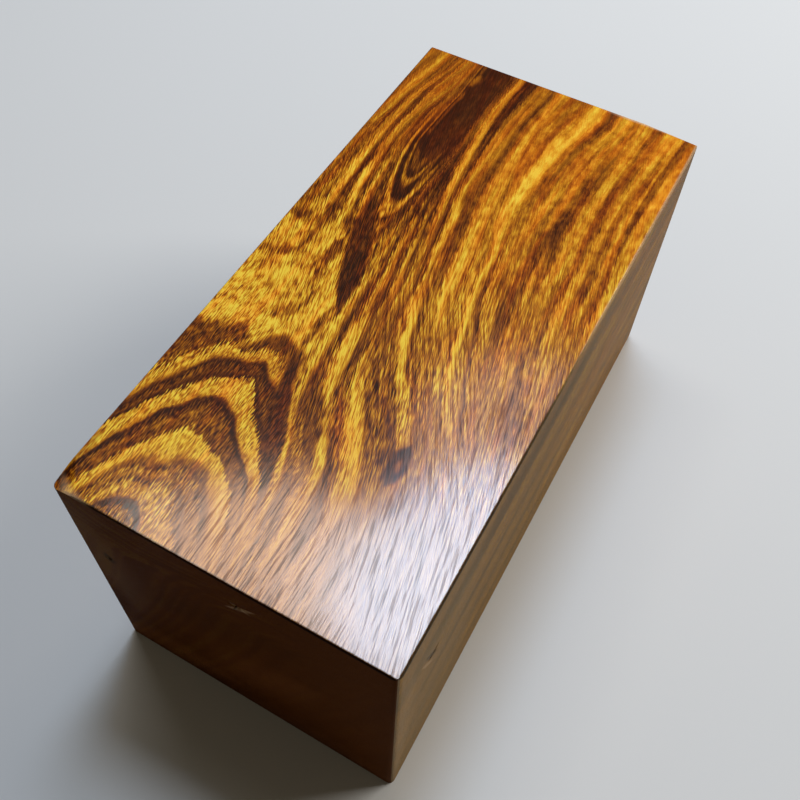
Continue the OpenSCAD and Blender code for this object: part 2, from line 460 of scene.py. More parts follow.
# Tone of the loops by their distance from the middle line
EYE_LOOPS = pairs("""0 .11 1.3 .09 1.75 .05 2.05 .13 2.4 .28 2.65 .17 2.85 .13 3.08 .5 3.28 .28
3.42 .1 3.7 .04 3.93 .12 4.14 .5 4.38 .64 4.65 .34 4.9 .24 20 .24""")

# Marks on the upper face: where each starts and ends, as distances from the left
# side and the far end, its half width, softness, tone and strength.
MARKS = rows("""
14.2 40 15.4 43.6 1.2 .5 .03 .9
16.9 29 17 41 .35 .3 .4 .8
12.2 24.5 13.2 29.5 .8 .6 .02 .8
4 37 4.6 43.5 .8 .6 .88 .8
6.8 37 7.8 45 .7 .5 .92 .9
25.8 37.5 27.2 43.5 .5 .4 .86 .8
13.3 3.4 12.8 8 .8 .7 .52 .75
14.2 45.4 15.4 48 1 .6 .66 .7
12.8 7.4 13.8 10.2 .8 .5 .08 .8
12.4 9.8 12.9 13 .5 .4 .38 .7
14.4 5.5 15.8 10.5 .9 .7 .13 .5
19.1 18.5 19.5 24.5 .35 .3 .42 .7
44.4 32.5 44.8 41 .9 .6 .06 .7
44.2 51 44.4 55.5 .8 .6 .18 .6
28.6 39 30 49 .8 .5 .14 .5
.4 51 2.6 57 1.3 1 .36 .8
4 48.5 4.8 54 1.3 .8 .74 .7
6.8 49 6.7 57 .7 .6 .26 .8
.5 58 6 61.5 2 1.2 .86 .7
7.4 54.5 6.4 62.5 1.1 .8 .4 .85
6 62 3.6 65 1.1 .8 .27 .8
3.6 63.8 .2 65.8 .8 .7 .36 .7
9.2 47 9.8 66 1 .8 .82 .7
12.2 56.5 12.3 64.5 1 .6 .24 .85
11.8 63.5 13.4 69 .8 .8 .46 .7
3 70.5 11.5 66.5 2 1.4 .94 .75
4.3 67 6 69.5 .7 .6 .55 .6
12.4 66.5 13.6 72 .8 .6 .6 .6
14.3 67.5 14.4 74 .55 .5 .34 .8
14.4 72 10.4 77.5 .9 .8 .36 .75
10 72 11 77.5 .9 .9 .44 .6
13.6 60 17.2 76 1.2 .6 .88 .6
12.6 78.6 18 76.6 1.1 .9 .8 .6
1.5 82.5 5.6 79 1.1 .9 .9 .7
8.7 86 12.4 80.8 .9 .6 .78 .6
11.4 44.2 20.1 71.2 2.35 .5 .15 .97
15.4 56 19.6 70.5 1.5 .9 .05 .8
18.9 69 18.7 81 .75 .5 .36 .85
19.4 48.8 19.3 57.5 1 .6 .62 .7
19.2 80 20.9 93 1.1 .6 .11 .95
19.8 86 27.2 104.6 1.9 .5 .13 .95
17.2 84.4 18.8 89 .8 .6 .58 .7
23.6 83 31.4 98 1.6 .5 .2 .85
30.4 101.5 31.2 109 .8 .7 .36 .7
34.6 98.5 37.6 113.5 .9 .7 .28 .75
38.8 92 42.6 90.4 1.2 .9 .14 .75
43.1 87.6 42.7 96 1.6 .6 .05 1
43.2 90.4 43.2 93.2 .45 .4 .4 .6
42.2 112 42.5 119 .35 .3 .62 .7
9 106.5 13.8 105.5 2.4 1.4 .86 .6
""")

# Marks on the near end, from the left side and the upper face, and on the right
# side, from the far end and the upper face: start, end, half width, softness,
# how much darker (less than 0 for lighter) and how far it is made pale.
FRONT_MARKS = rows("""
30.2 9.8 35.2 6.2 .4 .4 0 .34
31.2 7 34.4 8.2 .35 .3 0 .24
5 18.6 5.8 22.2 1.1 .6 .75 0
-1 2 6 40 6 5 0 .07
-3 3 9 5 4.5 4 0 .04
22 49 44 29 5.5 4.5 -.32 .01
-4 58 26 52 5 4 -.5 .022
24 60 62 57 4.5 4 -.2 .018
10 30 42 14 6 5 .15 0
""")
# The right side's last mark is a painted reflection that makes the far half of the right side
# lighter
RIGHT_MARKS = rows("""
111.2 14 106.9 20 .62 .4 .6 0
112.4 14.8 108.4 21.2 .5 .4 0 .22
48 8 114 9.5 4.5 3 .2 0
80 26 112 28 1.6 1.4 .18 0
116 8 119 58 2.6 2 0 .07
2 30 60 46 9 8 -.1 .03
""")

# Wood colours from the darkest tone to the most golden
TONES = [
    (0.0, (0.028, 0.0062, 0.0012)),
    (0.12, (0.06, 0.0105, 0.0012)),
    (0.3, (0.165, 0.034, 0.002)),
    (0.5, (0.36, 0.094, 0.0028)),
    (0.66, (0.6, 0.195, 0.006)),
    (0.82, (0.82, 0.36, 0.017)),
    (1.0, (0.97, 0.58, 0.045)),
]

# The colour that wear and painted edge highlights bring out, what turns a streak redder or yellower,
# and the brown of the painted haze that the window's reflection lays on the upper face
WORN_WOOD_AND_HIGHLIGHT = (0.74, 0.48, 0.28, 1.0)
REDDER = (1.05, 0.84, 0.8, 1.0)
YELLOWER = (0.96, 1.12, 1.25, 1.0)
GLARE_HAZE_BROWN = (0.4, 0.25, 0.11, 1.0)

# Clouds of noise: how much finer each runs across, along and down, in units for
# each millimetre, then its detail and its roughness.
WANDER = ((0.16, 0.06, 0.07), 3.0, 0.5)
DROP = ((0.3, 0.13, 0.09), 3.0, 0.5)
FINE_STREAKS = ((1.5, 0.06, 0.4), 3.0, 0.75)
MOTTLE = ((0.42, 0.3, 0.2), 3.0, 0.55)
ARCH_STREAKS = ((3.5, 0.12, 0.25), 3.0, 0.6)
GLOW = ((0.6, 0.4, 0.5), 2.0, 0.5)
HUE = ((0.7, 0.07, 0.2), 2.0, 0.5)

# Fibres: width, detail, roughness, then the slant in degrees and the length of
# those at the near left, and of those in each further part.
DASHES = (0.22, 1.0, 0.6, [(2.0, 1.5), (17.0, 2.6)])
THREADS = (0.34, 2.0, 0.7, [(1.0, 9.0), (12.0, 9.0), (27.0, 9.0)])

# How the rings run down into the block: they lean by a share of the depth that
# grows with it, grow straight by a depth and wander by a distance.
LEAN = 0.2
LEAN_GROWTH = 0.0032
STRAIGHT_DEPTH = 16.0
STRAIGHT_SHARE = 0.85
STRAIGHT_CUT = 47.0
WANDER_REACH = 0.6
DROP_REACH = 1.6

# Parts of the upper face, each with soft limits: what is measured, where the
# part starts and where it is full. x is the distance from the left side and v
# the distance from the far end.
FACE_PARTS = {
    "slanting": [("v - x", 74, 60)],
    "curling": [("x - 0.35 v", 1, 7), ("x - 0.35 v", 25, 19), ("v", 52, 64), ("v", 100, 88)],
    "near": [("v", 15, 55)],
    "far end": [("v", 60, 25)],
    "yellow": [("v", 25, 80)],
    "right": [("x", 18, 28)],
    "right edge": [("x", 39, 44)],
    "far part": [("v", 86, 66)],
    "stripes": [("x", 50, 43), ("v", 44, 60), ("v", 86, 78)],
    "soft": [("x", 22, 30), ("v", 62, 34)],
    "pale right": [("x", 46, 53), ("v", 66, 50)],
    "pale middle": [("x", 19, 25), ("v", 36, 50)],
    # Where the window's reflection lies on the upper face, which takes painted haze
    "under_glare": [("v + 0.3 x", 104, 118), ("x", 14, 24)],
    "bright": [("x", 33, 46)],
    "left": [("x", 40, 10)],
}

# How strongly the fibres show: in plain wood, in the calm and striped parts and
# under the window's glare, where they are painted fainter as its reflection washes them out.
FLECKS_SHOW = {"plain": 0.62, "calm": 0.3, "under_glare": 0.12}
THREADS_SHOW = {"plain": 0.2, "calm": 0.3, "striped": 0.2, "under_glare": 0.2}
GLOW_SHOWS = {"plain": 0.1, "soft": 0.3, "under_glare": 0.0}

DARK_LINES_SHOW = 0.16
FINE_STREAKS_SHOW = (0.36, 0.52)
MOTTLE_SHOWS = 0.7

# The grain line, counted from the left, where the patch and the arches end
PATCH_EDGE = 6
# Tones: the patch from its far to its near part, where the eye and the arches
# fade, what the soft part fades to, the painted haze under the window's glare, and what less
# contrast leaves
PATCH_TONES = (0.67, 0.8)
EYE_FADED, EYE_BROWN, ARCH_FADED = 0.13, 0.4, 0.52
SOFT_TONE, GLARE_HAZE_TONE, MIDDLE_TONE = 0.66, 0.56, 0.45

# The polish, how much thinner it is over dark lines, and the share rubbed off
FULL_FILM, DARK_LINE_THINS, RUBBED_OFF = 0.98, 0.5, 0.8

# How far painted shade darkens the front and right arrises, how far a painted dark reflection
# darkens the left edge, and the darkest of all
ARRIS_SHADE, LEFT_EDGE_DARK_REFLECTION, DARKEST = 0.78, 0.45, 0.12
# How far wear and painted highlights pale the far edge, the right edge and the near left corner
FAR_WEAR_AND_HIGHLIGHT, RIGHT_WEAR_AND_HIGHLIGHT, NEAR_LEFT_WEAR_AND_HIGHLIGHT = 0.75, 0.4, 0.45


def between(points, place):
    """The height at place of straight lines drawn through points"""
    if place <= points[0][0]:
        return points[0][1]
    for (x0, y0), (x1, y1) in zip(points, points[1:]):
        if place <= x1:
            return y0 + (y1 - y0) * (place - x0) / (x1 - x0)
    return points[-1][1]


def name_at(x, v):
    """The name of the grain line at a place on the upper face"""
    lines = [(between(points, v), name) for name, points in GRAIN_LINES]
    last, last_name = lines[-1]
    return between(lines, x) if x < last else last_name + (x - last) * PAST_LAST_LINE


def cut_points(v, tones):
    """A cut's tones placed on the grain lines they lie on"""
    points = [(name_at(x, v), tone) for x, tone in tones]
    return points + [(name, tone) for name, tone in PAST_THE_SIDE if name > points[-1][0] + 0.5]


def grain_label(r, x, v):
    """The name of the grain line through a place, and where each line runs there"""
    names = [name for name, _ in GRAIN_LINES]
    heights = [r.curve(v, points, 120.0, 80.0) for _, points in GRAIN_LINES]
    label = r.mul(r.math("MAXIMUM", r.sub(x, heights[-1]), 0.0), PAST_LAST_LINE)
    label = r.add(label, names[0])
    for i in range(len(names) - 1):
        share = r.math("DIVIDE", r.sub(x, heights[i]), r.sub(heights[i + 1], heights[i]), clamp=True)
        label = r.add(label, r.mul(share, names[i + 1] - names[i]))
    return label, heights


def streak_tone(r, label, v):
    """Tone of the long streaks, fading from each cut to the next"""
    tone = None
    for i, (cut, tones) in enumerate(CUTS):
        here = r.long_curve(label, cut_points(cut, tones), (0, 33, 66))
        if i == 0:
            tone = here
            continue
        before = CUTS[i - 1][0]
        share = r.math("DIVIDE", r.sub(v, before), cut - before, clamp=True)
        tone = r.blend(share, tone, here)
    return tone


def ring_count(r, x, v):
    """How many arches lie beyond a place, with the share of the next one, and where they start"""
    heights = [r.curve(x, points, 36.0, 150.0) for points in ARCH_LINES]
    total = 0.0
    for near, far in zip(heights, heights[1:]):
        share = r.math("DIVIDE", r.sub(v, near), r.sub(far, near), clamp=True)
        total = r.add(share, total)
    last = r.clamp(r.mul(r.sub(v, heights[-1]), 0.25))
    return r.add(total, last), heights[0]


def block_place(r):
    """A place's distances from the left side, the far end and the upper face"""
    split = r.node("ShaderNodeSeparateXYZ")
    r.give(split.inputs[0], r.node("ShaderNodeTexCoord").outputs["Object"])
    x = r.mul(r.sub(split.outputs[0], LOW.x), MM)
    v = r.mul(r.sub(HIGH.y, split.outputs[1]), MM)
    depth = r.math("MAXIMUM", r.mul(r.sub(HIGH.z, split.outputs[2]), MM), 0.0)
    return x, v, depth


def face_parts(r, x, v):
    """The parts of the upper face by name, each 1 inside and 0 outside"""
    ways = {
        "x": x,
        "v": v,
        "v - x": r.sub(v, x),
        "x - 0.35 v": r.sub(x, r.mul(v, 0.35)),
        "v + 0.3 x": r.add(v, r.mul(x, 0.3)),
    }
    parts = {}
    for name, limits in FACE_PARTS.items():
        parts[name] = r.mul(*[r.step(ways[way], start, full) for way, start, full in limits])
    calmed = r.math("MAXIMUM", parts["far part"], parts["right edge"])
    parts["calm"] = r.mul(parts["right"], calmed)
    parts["striped"] = r.mul(parts["right"], parts["stripes"])
    # Where the window's glare is brightest
    parts["washed"] = r.mul(parts["under_glare"], parts["bright"])
    return parts


def fibres(r, place, pattern, shares):
    """Short lengths of fibre, blended from those at the near left to those further off"""
    x, v, depth = place
    wide, detail, rough, kinds = pattern
    made = []
    for angle, long in kinds:
        c, s = math.cos(math.radians(angle)), math.sin(math.radians(angle))
        across = r.sub(r.mul(x, c / wide), r.mul(v, s / wide))
        along = r.add(r.mul(x, s / long), r.mul(v, c / long))
        made.append(r.noise(r.vector(across, along, r.mul(depth, 1 / wide)), detail, rough))
    mixed = made[0]
    for share, further in zip(shares, made[1:]):
        mixed = r.blend(share, mixed, further)
    return mixed


def bent_place(r, place, dashes):
    """Where a place lies in the figure: across, across with ragged edges, and along it"""
    flat_x, flat_v, depth = place
    lean = r.add(r.mul(depth, LEAN), r.mul(depth, depth, LEAN_GROWTH))
    wander = r.cloud(*place, WANDER)
    x = r.add(flat_x, lean, r.mul(wander, WANDER_REACH), r.mul(dashes, 0.16))
    ragged_x = r.add(x, r.mul(dashes, r.blend(r.step(flat_v, 20.0, 50.0), 0.2, 0.55)))
    deep_v = r.blend(r.mul(r.step(depth, 0.0, STRAIGHT_DEPTH), STRAIGHT_SHARE), flat_v, STRAIGHT_CUT)
    v = r.add(deep_v, r.mul(r.cloud(*place, DROP), DROP_REACH), r.mul(dashes, 0.55))
    return x, ragged_x, v


def with_eye(r, tone, x, v, fine):
    """Sets the eye into the far left"""
    aside = r.sub(x, r.curve(v, EYE_MIDDLE, 120.0, 60.0))
    hang = r.mul(r.math("MAXIMUM", r.sub(v, EYE_TOP), 0.0), 1 / EYE_STRETCH)
    loop = r.add(r.math("POWER", r.math("ABSOLUTE", aside), EYE_POINT),
                 r.math("POWER", hang, EYE_POINT))
    loop = r.math("POWER", loop, 1 / EYE_POINT)
    inside = r.mul(r.step(loop, 5.2, 4.7), r.step(aside, 4.2, 3.2))
    eye = r.curve(loop, EYE_LOOPS, 20.0, 1.0)
    # Its loops fade out up along its right side, and its left side turns brown
    eye = r.blend(r.mul(r.step(aside, 0.4, 1.6), r.step(v, 37.0, 25.0), 0.9), eye, EYE_FADED)
    eye = r.blend(r.mul(r.step(aside, -2.7, -3.6), r.step(v, 29.0, 16.0), 0.75), eye, EYE_BROWN)
    return r.blend(inside, tone, r.add(eye, r.mul(fine, 0.2)))


def with_patch(r, tone, place, x, v, edge):
    """Sets the golden patch, mottled with brown, into the left"""
    far_tone, near_tone = PATCH_TONES
    patch = r.blend(r.step(place[1], 74.0, 66.0), near_tone, far_tone)
    patch = r.add(patch, r.mul(r.cloud(*place, MOTTLE), MOTTLE_SHOWS))
    inside = r.mul(r.step(r.sub(edge, x), -0.2, 0.8), r.step(v, 52.0, 57.0))
    return r.blend(inside, tone, patch)


def with_arches(r, tone, x, v, depth, dashes, edge):
    """Sets the arches into the near left"""
    count, first = ring_count(r, x, v)
    arch = r.curve(r.add(count, r.mul(dashes, 0.2)), ARCH_RINGS, 8.0, 1.0)
    inside = r.mul(r.step(r.sub(v, first), -1.2, 1.0), r.step(r.sub(x, edge), 0.2, -0.9))
    faded = r.mul(r.step(x, 23.0, 28.0), r.step(v, 103.0, 109.0))
    arch = r.blend(r.mul(faded, 0.8), arch, ARCH_FADED)
    streaks = r.cloud(count, x, depth, ARCH_STREAKS)
    return r.blend(inside, tone, r.add(arch, r.mul(streaks, 0.14)))


def figure_tone(r, place, parts, dashes, contrast):
    """How golden the wood is before its fibres, its grain line's name and its place along it"""
    depth = place[2]
    x, ragged_x, v = bent_place(r, place, dashes)
    label, lines = grain_label(r, ragged_x, v)
    tone = streak_tone(r, label, v)
    fine = r.cloud(label, v, depth, FINE_STREAKS)
    near_show, far_show = FINE_STREAKS_SHOW
    tone = r.add(tone, r.mul(fine, r.blend(r.step(v, 25.0, 55.0), far_show, near_show)))
    tone = with_eye(r, tone, x, v, fine)
    tone = with_patch(r, tone, place, x, v, lines[PATCH_EDGE])
    tone = with_arches(r, tone, x, v, depth, dashes, lines[PATCH_EDGE])
    for *shape, to, strength in MARKS:
        tone = r.blend(r.mul(r.leaf(x, v, *shape), strength), tone, to)
    tone = r.blend(r.mul(parts["soft"], 0.16), tone, SOFT_TONE)
    tone = r.add(tone, r.mul(parts["pale right"], 0.04), r.mul(parts["pale middle"], 0.07))
    tone = r.blend(contrast, MIDDLE_TONE, tone)
    # Painted haze of the window's reflection: under the glare the tone is drawn towards one even
    # tone
    evened = r.add(r.mul(parts["washed"], 0.2), r.mul(parts["under_glare"], 0.1))
    tone = r.blend(evened, tone, GLARE_HAZE_TONE)
    return tone, label, v


def with_fibres(r, tone, parts, dashes, threads, glow, contrast):
    """Adds the fibres and the soft light and dark between them"""
    flecks = r.sub(r.step(dashes, -0.42, 0.42), 0.5)
    lines = r.sub(r.step(threads, -0.35, 0.35), 0.5)
    calm, striped, under_glare, soft = (parts[name] for name in ("calm", "striped", "under_glare", "soft"))
    # They fade in the darkest and the palest wood, and towards the far end
    shown = r.mul(contrast, r.blend(r.step(tone, 0.05, 0.5), 0.5, 1.0), r.step(tone, 1.6, 0.6),
                  r.blend(parts["near"], 0.22, 1.0))
    of_flecks = r.blend(calm, FLECKS_SHOW["plain"], FLECKS_SHOW["calm"])
    # Under the window's glare the fibres are painted fainter, as its reflection washes them out
    of_flecks = r.blend(under_glare, of_flecks, FLECKS_SHOW["under_glare"])
    of_lines = r.blend(calm, THREADS_SHOW["plain"], THREADS_SHOW["calm"])
    of_lines = r.add(of_lines, r.mul(striped, THREADS_SHOW["striped"]))
    of_lines = r.blend(under_glare, of_lines, THREADS_SHOW["under_glare"])
    of_glow = r.blend(under_glare, GLOW_SHOWS["plain"], GLOW_SHOWS["under_glare"])
    of_glow = r.blend(soft, of_glow, GLOW_SHOWS["soft"])
    tone = r.add(tone, r.mul(flecks, shown, of_flecks), r.mul(lines, shown, of_lines),
                 r.mul(glow, of_glow))
    return r.add(tone, r.mul(parts["far end"], r.step(tone, 0.15, 0.4), 0.05))


def wood_colour(r, tone, parts, label, v, depth):
    """The colour of a tone. Some streaks are redder and some yellower. Under the window's glare the
    colour is painted browner and its hue evened, as a haze of reflection.
    """
    under_glare = parts["under_glare"]
    hue = r.sub(r.cloud(label, v, depth, HUE), r.mul(parts["yellow"], 0.2))
    colour = r.ramp(tone, TONES)
    warm = r.blend_colour(1.0, colour, REDDER, "MULTIPLY")
    pale = r.blend_colour(1.0, colour, YELLOWER, "MULTIPLY")
    # Painted haze of the window's reflection: under the glare the hue is evened and the colour
    # browned
    colour = r.blend_colour(r.blend(under_glare, r.step(hue, -0.35, 0.35), 0.5), pale, warm)
    painted_haze = r.add(r.mul(under_glare, 0.15), r.mul(parts["washed"], 0.25))
    return r.blend_colour(painted_haze, colour, GLARE_HAZE_BROWN)


def polish_film(r, x, v, dark_lines):
    """How thick the polish lies: thinner over the thin dark lines and on the near left rub"""
    film = r.sub(FULL_FILM, r.mul(dark_lines, DARK_LINE_THINS))
    rubbed = r.step(r.add(r.mul(x, 0.75), r.sub(FACE_LENGTH, v)), 4.9, 4.1)
    return r.clamp(r.mul(film, r.sub(1.0, r.mul(rubbed, RUBBED_OFF))))


def edge_shade_wear_and_marks(r, x, v, depth):
    """Painted shade on the edges and the darker tone of marks, with 1 for none, and how far wear and
    painted highlights turn it pale
    """
    # Painted shade along the front arris and the near half of the right arris, where the rounded
    # edges look dark
    near_top = r.step(depth, 0.8, 0.3)
    at_front = r.step(v, FACE_LENGTH - 0.5, FACE_LENGTH - 0.2)
    at_right = r.step(x, FACE_WIDTH - 0.6, FACE_WIDTH - 0.25)
    near_half = r.step(v, 60.0, 80.0)
    shaded_arris = r.math("MAXIMUM", at_front, r.mul(at_right, near_half))
    shade = r.sub(1.0, r.mul(shaded_arris, near_top, ARRIS_SHADE))

    # Painted highlights along with wear pale the far edge, the far half of the right edge and the
    # near left corner
    at_far = r.mul(r.step(v, 0.9, 0.3), r.step(x, 38.0, 46.0))
    far_half = r.mul(at_right, r.step(v, 66.0, 46.0))
    from_end = r.sub(FACE_LENGTH, v)
    near_left = r.step(r.add(r.mul(x, 0.5), r.mul(from_end, 1.3)), 4.2, 1.4)
    pale_edges_and_highlight = r.add(r.mul(at_far, FAR_WEAR_AND_HIGHLIGHT), r.mul(far_half, RIGHT_WEAR_AND_HIGHLIGHT),
                 r.mul(near_left, NEAR_LEFT_WEAR_AND_HIGHLIGHT))
    wear_and_highlight = r.mul(near_top, pale_edges_and_highlight)
    # A painted dark reflection along the left edge, a little way from the near end
    left_edge_reflection = r.mul(r.step(x, 1.8, 0.5), r.step(from_end, 13.0, 9.0), r.step(from_end, 0.8, 2.4))
    shade = r.sub(shade, r.mul(near_top, left_edge_reflection, LEFT_EDGE_DARK_REFLECTION))

    # Marks on the near end and on the right side; the right side's last one is a painted reflection
    for face, across, marks in ((at_front, x, FRONT_MARKS), (at_right, v, RIGHT_MARKS)):
        for *shape, darker, paler in marks:
            mask = r.mul(r.leaf(across, depth, *shape), face)
            if darker:
                shade = r.sub(shade, r.mul(mask, darker))
            if paler:
                wear_and_highlight = r.add(wear_and_highlight, r.mul(mask, paler))
    return r.math("MAXIMUM", shade, DARKEST), r.clamp(wear_and_highlight)


def figure_group(settings):
    """The solid pattern of the wood, as a group that every finish shares"""
    tree = bpy.data.node_groups.new("figured_hardwood", "ShaderNodeTree")
    r = Recipe(tree)
    place = block_place(r)
    flat_x, flat_v, depth = place
    parts = face_parts(r, flat_x, flat_v)

    dashes = fibres(r, place, DASHES, [parts["slanting"]])
    threads = fibres(r, place, THREADS, [parts["slanting"], parts["curling"]])
    glow = r.cloud(*place, GLOW)
    tone, label, v = figure_tone(r, place, parts, dashes, settings.figure_contrast)
    tone = with_fibres(r, tone, parts, dashes, threads, glow, settings.fibre_contrast)
    dark_lines = r.step(threads, 0.0, -0.2)
    # The fibres' dark lines are painted darker under the window's glare, where they break its
    # reflection
    tone = r.sub(tone, r.mul(dark_lines, parts["under_glare"], DARK_LINES_SHOW))
    shade, wear_and_highlight = edge_shade_wear_and_marks(r, flat_x, flat_v, depth)

    results = {
        "Colour": wood_colour(r, tone, parts, label, v, depth),
        "Height": dashes,
        "Dullness": r.add(r.mul(threads, 0.5), r.mul(glow, 0.5)),
        "Film": polish_film(r, flat_x, flat_v, dark_lines),
        "Shade": shade,
        "Wear and highlight": wear_and_highlight,
        "Left": parts["left"],
    }
    for name in results:
        kind = "NodeSocketColor" if name == "Colour" else "NodeSocketFloat"
        tree.interface.new_socket(name=name, in_out="OUTPUT", socket_type=kind)
    out = r.node("NodeGroupOutput")
    for name, result in results.items():
        r.give(out.inputs[name], result)
    return tree


def wood_material(name, group, finish, roughness, pore_depth, tints=None, coat_roughness=None):
    """One finish of the wood, all of which cut the same solid figure. tints are the
    colours of its dust or oil at the right and at the left; the warmer left one is painted warmth
    against the cool light there."""
    material = bpy.data.materials.new(name)
    r = empty_recipe(material)
    figure = r.node("ShaderNodeGroup")
    figure.node_tree = group
    shader = r.node("ShaderNodeBsdfPrincipled")
    colour = figure.outputs["Colour"]
    if tints:
        right_tint, left_tint = tints
        # The left side takes the warmer tint: painted warmth against the cool light on it
        dust = r.blend_colour(figure.outputs["Left"], (*right_tint, 1.0), (*left_tint, 1.0))
        colour = r.blend_colour(finish["hides"], colour, dust)
    # Shade darkens the colour: painted shade on the edges and the darker tone of marks
    shaded = r.node("ShaderNodeVectorMath", operation="SCALE")
    r.give(shaded.inputs[0], colour)
    r.give(shaded.inputs["Scale"], figure.outputs["Shade"])
    # Wear and painted edge highlights turn the colour pale
    colour = r.blend_colour(figure.outputs["Wear and highlight"], shaded.outputs[0], WORN_WOOD_AND_HIGHLIGHT)
    r.give(shader.inputs["Base Color"], colour)
    rough = r.add(roughness, r.mul(figure.outputs["Dullness"], finish["spread"]))
    r.give(shader.inputs["Roughness"], r.clamp(rough))
    shader.inputs["Specular IOR Level"].default_value = finish["specular"]
    if coat_roughness:
        r.give(shader.inputs["Coat Weight"], figure.outputs["Film"])
        shader.inputs["Coat Roughness"].default_value = coat_roughness
    bump = r.node("ShaderNodeBump")
    bump.inputs["Strength"].default_value = 1.0
    bump.inputs["Distance"].default_value = pore_depth * finish["pores"]
    r.give(bump.inputs["Height"], figure.outputs["Height"])
    r.give(shader.inputs["Normal"], bump.outputs[0])
    output = r.node("ShaderNodeOutputMaterial")
    r.give(output.inputs[0], shader.outputs[0])
    return material


# ---- the block ----

# Two places closer than this are the same
CLOSE = 1e-6
# A fold sharper than this, in degrees, stays a sharp edge
SHARP_FOLD = 25
# The polish covers what faces up at least this much and lies this near the upper face
POLISH_FACING = 0.95
POLISH_REACH = 0.002


def select_only(piece):
    """Selects one piece and makes it the active one"""
    bpy.ops.object.select_all(action="DESELECT")
    piece.select_set(True)
    bpy.context.view_layer.objects.active = piece


def sharpen_corner(piece, radius):
    """Gives the near left upright corner a smaller radius, with its eased edges as they were"""
    middle = LOW.xy + Vector((NEAR_LEFT_R, NEAR_LEFT_R))
    new_middle = LOW.xy + Vector((radius, radius))
    for point in piece.data.vertices:
        out = point.co.xy - middle
        if out.x < CLOSE and out.y < CLOSE and out.length > NEAR_LEFT_R - BASE_EDGE_R - CLOSE:
            place = new_middle + out.normalized() * (out.length - NEAR_LEFT_R + radius)
            point.co.xy = place


def rub_corner(along_side, along_end, drop):
    """Cuts a small slanting flat off the near left upper corner, in edit mode"""
    corner = Vector((LOW.x, LOW.y, HIGH.z))
    slope = Vector((-drop / along_end, -drop / along_side, 1.0))
    bpy.ops.mesh.select_all(action="SELECT")
    bpy.ops.mesh.bisect(plane_co=corner - Vector((0, 0, drop)), plane_no=slope,
                        use_fill=True, clear_outer=True)


def finish_for(face):
    """Which material a face of the block takes: 0 polished, 1 sanded or 2 end grain"""
    facing = face.normal
    if facing.z > POLISH_FACING and face.center.z > HIGH.z - POLISH_REACH:
        return 0
    return 2 if abs(facing.y) > abs(facing.x) else 1


class BLANK_OT_block(bpy.types.Operator):
    """Makes the block with its polished face, sanded sides and dark ends"""

    bl_idname = "blank.block"
    bl_label = "Handle block"

    def execute(self, context):
        settings = context.scene.blank_settings
        node = frame["nodes"][NODE]
        piece = node.copy()
        piece.data = node.data.copy()
        piece.name = "figured_block"
        piece.parent = None
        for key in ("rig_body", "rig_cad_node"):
            if key in piece:
                del piece[key]
        context.scene.collection.objects.link(piece)
        sharpen_corner(piece, settings.near_left_radius)
        select_only(piece)
        bpy.ops.object.mode_set(mode="EDIT")
        bpy.ops.mesh.select_all(action="SELECT")
        bpy.ops.mesh.remove_doubles(threshold=CLOSE)
        rub_corner(settings.rub_along_side, settings.rub_along_end, settings.rub_drop)
        bpy.ops.mesh.select_all(action="SELECT")
        bpy.ops.mesh.normals_make_consistent(inside=False)
        bpy.ops.object.mode_set(mode="OBJECT")
        bpy.ops.object.shade_smooth_by_angle(angle=math.radians(SHARP_FOLD))
        flat = piece.modifiers.new("flat_faces_stay_flat", "WEIGHTED_NORMAL")
        flat.mode = "FACE_AREA"
        flat.weight = 100
        flat.keep_sharp = True
        bpy.ops.object.modifier_apply(modifier=flat.name)

        group = figure_group(settings)
        piece.data.materials.clear()
        piece.data.materials.append(wood_material(
            "polished_hardwood", group, POLISHED, settings.polish_roughness,
            settings.pore_depth, coat_roughness=settings.coat_roughness))
        piece.data.materials.append(wood_material(
            "sanded_hardwood", group, SANDED, settings.sanded_roughness,
            settings.pore_depth, (settings.sanded_tint, settings.left_tint)))
        piece.data.materials.append(wood_material(
            "oiled_end_grain", group, OILED, settings.end_roughness,
            settings.pore_depth, (settings.end_tint, settings.end_tint)))
        for face in piece.data.polygons:
            face.material_index = finish_for(face)

        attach(piece, "root")
        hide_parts(NODE)
        return {"FINISHED"}


# ---- the studio ----

# What the camera sees behind everything, and how bright it is
BACKGROUND = (0.92, 0.96, 1.0, 1.0)
BACKGROUND_LEVEL = 0.8
SKY_LIGHT = (1.0, 0.86, 0.6, 1.0)
FLOOR_RADIUS = 3.0
FLOOR_CORNERS = 96
# How far from the block the floor starts to turn into the background, and ends
FLOOR_FADE = (0.35, 0.9)

# The lights: name, which setting gives its glow and its share of that, shape,
# width, height, place, turn in degrees and colour.
LAMPS = [
    ("window", "window_glow", 1.0, "ELLIPSE", 0.18, 0.29,
     (-0.076, 0.276, 0.823), (0, 0, -14), (0.54, 0.75, 1.0)),
    ("near_wall", "wall_glow", 1.0, "RECTANGLE", 0.24, 0.136,
     (-0.1, 0.214, 0.823), (0, 0, 0), (1.0, 0.97, 0.98)),
    ("low_wall", "wall_glow", 0.7, "RECTANGLE", 0.2, 0.15,
     (-0.288, 0.178, 0.823), (0, 0, 38), (1.0, 0.97, 0.88)),
    ("high_wall", "wall_glow", 0.36, "ELLIPSE", 0.36, 0.28,
     (-0.018, 0.43, 0.823), (0, 0, 0), (1.0, 0.86, 0.8)),
    ("side_light", "side_glow", 1.0, "RECTANGLE", 0.4, 0.4,
     (0.5, 0.54, 0.52), (56, 0, 137), (1.0, 0.97, 0.9)),
]

CAMERA_PLACE = (0.0459, -0.0955, 0.188)
CAMERA_TURN = (35.245, -1.087, 29.279)
CAMERA_SHIFT = (0.007, -0.0422)
SENSOR_WIDTH = 36.0


def radians(angles):
    """Three angles in degrees, as Blender takes them"""
    return [math.radians(angle) for angle in angles]


